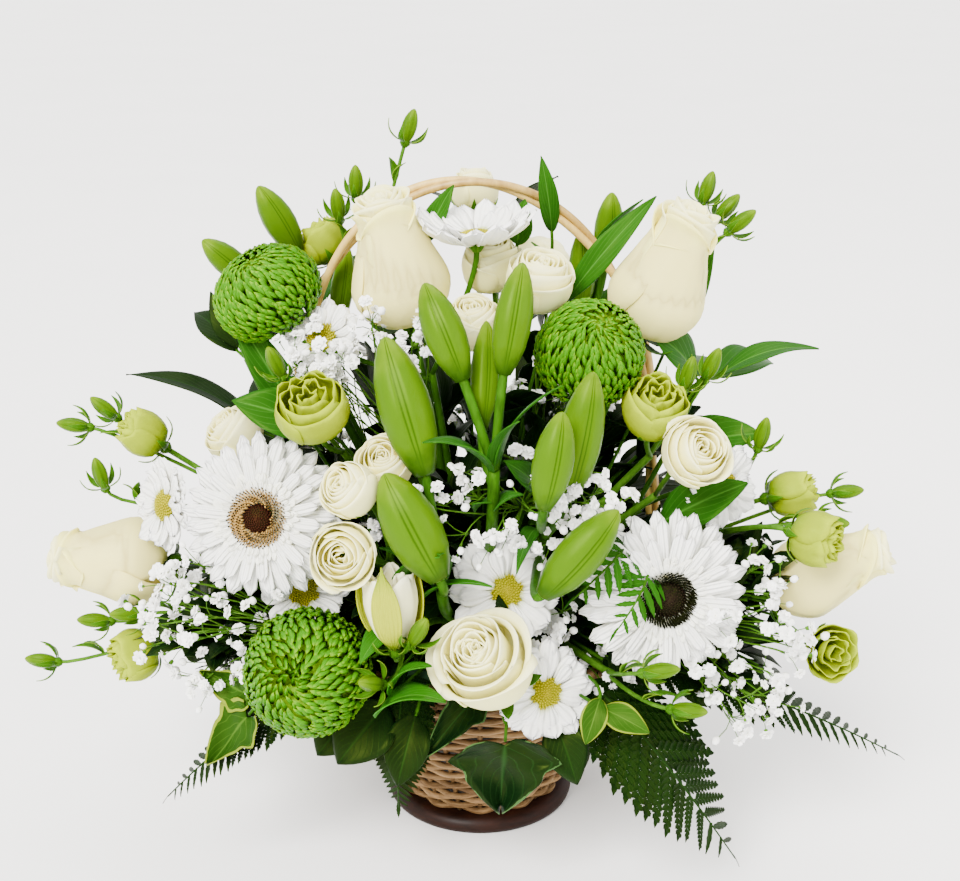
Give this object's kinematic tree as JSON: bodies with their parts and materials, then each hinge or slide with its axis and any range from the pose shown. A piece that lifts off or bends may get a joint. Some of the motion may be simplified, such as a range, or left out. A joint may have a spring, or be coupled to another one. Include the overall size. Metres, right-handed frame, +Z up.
{
  "type": "flower basket arrangement",
  "caption": "Round wicker basket with a tall twisted hoop handle, filled with white, cream and lime-green cut flowers, buds, ferns and ivy.",
  "frame": {"origin": "centre of the underside of the basket's round foot, on the surface that it stands on", "axes": "+Z up; +X to the right as seen from the front, along the handle's span and the arrangement's width; -Y towards the front, where the blooms face"},
  "size_m": [0.5049, 0.3306, 0.4196],
  "materials": {
    "foot": "satin",
    "wicker": "matte",
    "cane": "satin",
    "liner_film": "satin",
    "floral_foam": "matte",
    "rose_petal": "matte",
    "green_stem": "satin",
    "gerbera_ray": "matte",
    "dark_disc": "matte",
    "brown_disc": "matte",
    "lime_floret": "matte",
    "lily_bud": "satin",
    "lisianthus_petal": "matte",
    "cream_petal": "matte",
    "daisy_ray": "matte",
    "alstroemeria_petal": "matte",
    "breath_floret": "matte",
    "fern_leaf": "satin",
    "ivy_leaf": "satin",
    "lance_leaf": "satin"
  },
  "bodies": {
    "root": {"alstroemeria": "alstroemeria_petal", "babys_breath_centre": "breath_floret", "babys_breath_left": "breath_floret", "babys_breath_right": "breath_floret", "babys_breath_upper": "breath_floret", "basket_foot": "foot", "basket_handle": "cane", "basket_rim": "wicker", "basket_wall": "wicker", "daisy_front": "daisy_ray", "daisy_left": "daisy_ray", "daisy_right": "daisy_ray", "daisy_top": "daisy_ray", "fern_back": "fern_leaf", "fern_left": "fern_leaf", "fern_right": "fern_leaf", "foam_block": "floral_foam", "gerbera_left_disc": "brown_disc", "gerbera_left_rays": "gerbera_ray", "gerbera_left_stem": "green_stem", "gerbera_right_disc": "dark_disc", "gerbera_right_rays": "gerbera_ray", "gerbera_right_stem": "green_stem", "ivy_front": "ivy_leaf", "ivy_left": "ivy_leaf", "leafy_back": "lance_leaf", "leafy_left": "lance_leaf", "leafy_right": "lance_leaf", "lily_back_left": "lily_bud", "lily_back_right": "lily_bud", "lily_centre": "lily_bud", "lily_left": "lily_bud", "lily_right": "lily_bud", "liner": "liner_film", "lisianthus_back_left": "lisianthus_petal", "lisianthus_back_right": "lisianthus_petal", "lisianthus_front": "lisianthus_petal", "lisianthus_left_high": "lisianthus_petal", "lisianthus_left_low": "lisianthus_petal", "lisianthus_right": "lisianthus_petal", "lisianthus_right_high": "lisianthus_petal", "lisianthus_upper_left": "lisianthus_petal", "pompon_front_left": "lime_floret", "pompon_right": "lime_floret", "pompon_top_left": "lime_floret", "rose_front_petals": "rose_petal", "rose_front_stem": "green_stem", "rose_left_petals": "rose_petal", "rose_left_stem": "green_stem", "rose_right_petals": "rose_petal", "rose_right_stem": "green_stem", "rose_top_left_petals": "rose_petal", "rose_top_left_stem": "green_stem", "rose_top_right_petals": "rose_petal", "rose_top_right_stem": "green_stem", "spray_rose_back": "cream_petal", "spray_rose_left": "cream_petal", "spray_rose_left_back": "cream_petal", "spray_rose_right": "cream_petal", "spray_rose_top": "cream_petal"}
  },
  "joints": []
}
